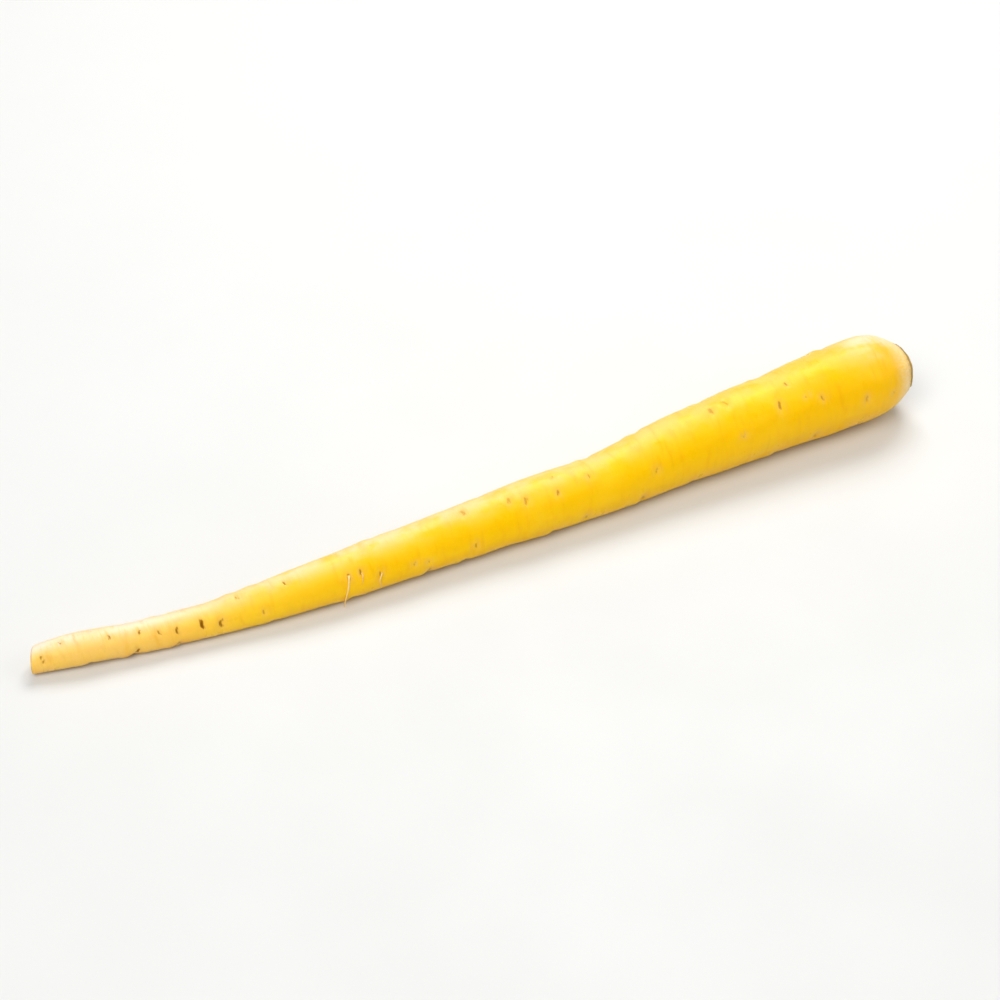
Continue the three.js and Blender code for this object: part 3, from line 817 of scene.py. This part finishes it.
def stub_look():
    look = Look("leaf_stub")
    patches = look.cloud(STALK_PATCH_GRAIN)
    fibres = look.cloud(STALK_FIBRE_GRAIN, FINE_DETAIL)
    colour = look.blend(look.span(patches, *STALK_MIX), STALK_DRY, STALK_GREEN)
    flesh = look.blend(look.span(fibres, *STALK_MIX), STALK_GREEN, STALK_FLESH)
    colour = look.blend(look.times(look.mask("cut_face"), STALK_CUT_SHARE), colour, flesh)
    colour = look.blend(look.mask("vein"), colour, VEIN_PALE)
    # painted shade: the stalks' steep sides, in the crevices between them, are darkened
    dark = look.times(look.mask("flank"), look.span(fibres, *STALK_FLANK_SHADE))
    colour = look.blend(dark, colour, STALK_SHADE)
    outside = look.span(look.mask("from_middle"), *STALK_OUTSIDE)
    outside = look.times(outside, look.span(fibres, *STALK_OUTSIDE_FIBRES))
    colour = look.blend(outside, colour, STALK_DRY)
    look.set(Base_Color=colour, Roughness=look.span(patches, *STALK_ROUGHNESS))
    look.bump(((fibres, STALK_FIBRE_RISE), (look.cloud(STALK_PORE_GRAIN), STALK_PORE_RISE)))
    return look.material


HAIR_TAN = tint(248, 214, 132)
HAIR_BROWN = tint(206, 152, 66)
HAIR_GRAIN = (0.5, 0.5, 0.5)
HAIR_BUMP_GRAIN, HAIR_BUMP_RISE = (0.12, 0.12, 0.3), 0.03
HAIR_MOTTLE = (0.45, 0.7, 0, 0.4)
HAIR_TIPS = (0.5, 1.0, 0, 0.4)
HAIR_ROUGHNESS = (0.3, 0.7, 0.5, 0.75)


def hair_look():
    look = Look("root_hair")
    mottle = look.cloud(HAIR_GRAIN)
    shade = look.plus(look.span(mottle, *HAIR_MOTTLE), look.span(look.mask("length"), *HAIR_TIPS))
    colour = look.blend(shade, HAIR_TAN, HAIR_BROWN)
    look.set(Base_Color=colour, Roughness=look.span(mottle, *HAIR_ROUGHNESS))
    look.bump(((look.cloud(HAIR_BUMP_GRAIN), HAIR_BUMP_RISE),))
    return look.material


FLOOR_PALE = tint(219, 219, 217)
FLOOR_SHADE = tint(215, 215, 213)
FLOOR_GRAIN = (60, 60, 60)
FLOOR_BUMP_GRAIN, FLOOR_BUMP_RISE = (0.8, 0.8, 0.8), 0.01
FLOOR_ROUGHNESS = (0.3, 0.7, 0.6, 0.75)


def floor_look():
    look = Look("pale_floor")
    mottle = look.cloud(FLOOR_GRAIN)
    colour = look.blend(mottle, FLOOR_PALE, FLOOR_SHADE)
    look.set(Base_Color=colour, Roughness=look.span(mottle, *FLOOR_ROUGHNESS))
    look.bump(((look.cloud(FLOOR_BUMP_GRAIN), FLOOR_BUMP_RISE),))
    return look.material


# Stage

FLOOR_HALF = 3000
LENS, SENSOR = 85, 36
CAMERA_ELEVATION, CAMERA_AZIMUTH, CAMERA_DISTANCE = 40, -25.365, 595.855
CAMERA_AIM = (5.621, 8.867, 0)
WORLD_COLOUR, WORLD_STRENGTH = (1, 1, 1, 1), 0.25
LIGHTS = (  # (name, place, width, height, watts)
    ("soft_back", (290, 420, 690), 560, 420, 5.4),
    ("soft_left", (-650, -600, 1150), 1100, 900, 15.5),
    ("soft_right", (1250, -700, 900), 1400, 1000, 5),
)


def add_object(name, data, place=(0, 0, 0), aim=None):
    made = bpy.data.objects.new(name, data)
    made.location = Vector(place) * MM
    if aim is not None:
        made.rotation_euler = (Vector(place) - Vector(aim)).to_track_quat("Z", "Y").to_euler()
    bpy.context.scene.collection.objects.link(made)
    return made


def add_floor():
    mesh = bpy.data.meshes.new("pale_floor")
    half = FLOOR_HALF * MM
    corners = [(-half, -half, 0), (half, -half, 0), (half, half, 0), (-half, half, 0)]
    mesh.from_pydata(corners, [], [(0, 1, 2, 3)])
    mesh.materials.append(floor_look())
    add_object("pale_floor", mesh)


def add_light(name, place, width, height, watts):
    light = bpy.data.lights.new(name, "AREA")
    light.shape = "RECTANGLE"
    light.size = width * MM
    light.size_y = height * MM
    light.energy = watts
    add_object(name, light, place, (0, 0, 0))


def add_camera():
    camera = bpy.data.cameras.new("camera")
    camera.lens = LENS
    camera.sensor_width = SENSOR
    elevation, azimuth = math.radians(CAMERA_ELEVATION), math.radians(CAMERA_AZIMUTH)
    back = Vector((math.sin(azimuth) * math.cos(elevation), -math.cos(azimuth) * math.cos(elevation),
                   math.sin(elevation)))
    place = Vector(CAMERA_AIM) + back * CAMERA_DISTANCE
    bpy.context.scene.camera = add_object("camera", camera, place, CAMERA_AIM)


def set_stage():
    add_floor()
    for light in LIGHTS:
        add_light(*light)
    world = bpy.data.worlds.new("studio")
    world.use_nodes = True
    background = world.node_tree.nodes["Background"]
    background.inputs["Strength"].default_value = WORLD_STRENGTH
    background.inputs["Color"].default_value = WORLD_COLOUR
    bpy.context.scene.world = world
    bpy.context.scene.view_settings.view_transform = "Standard"
    add_camera()


def dress_carrot():
    root = root_piece(skin_look())
    stubs = stub_piece(stub_look())
    hairs = hair_piece(hair_look())
    for piece, slot in ((root, "root_skin"), (stubs, "leaf_stub"), (hairs, "root_skin")):
        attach(piece, "root")
    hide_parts("carrot_root")
    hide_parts("leaf_stubs")


dress_carrot()
set_stage()
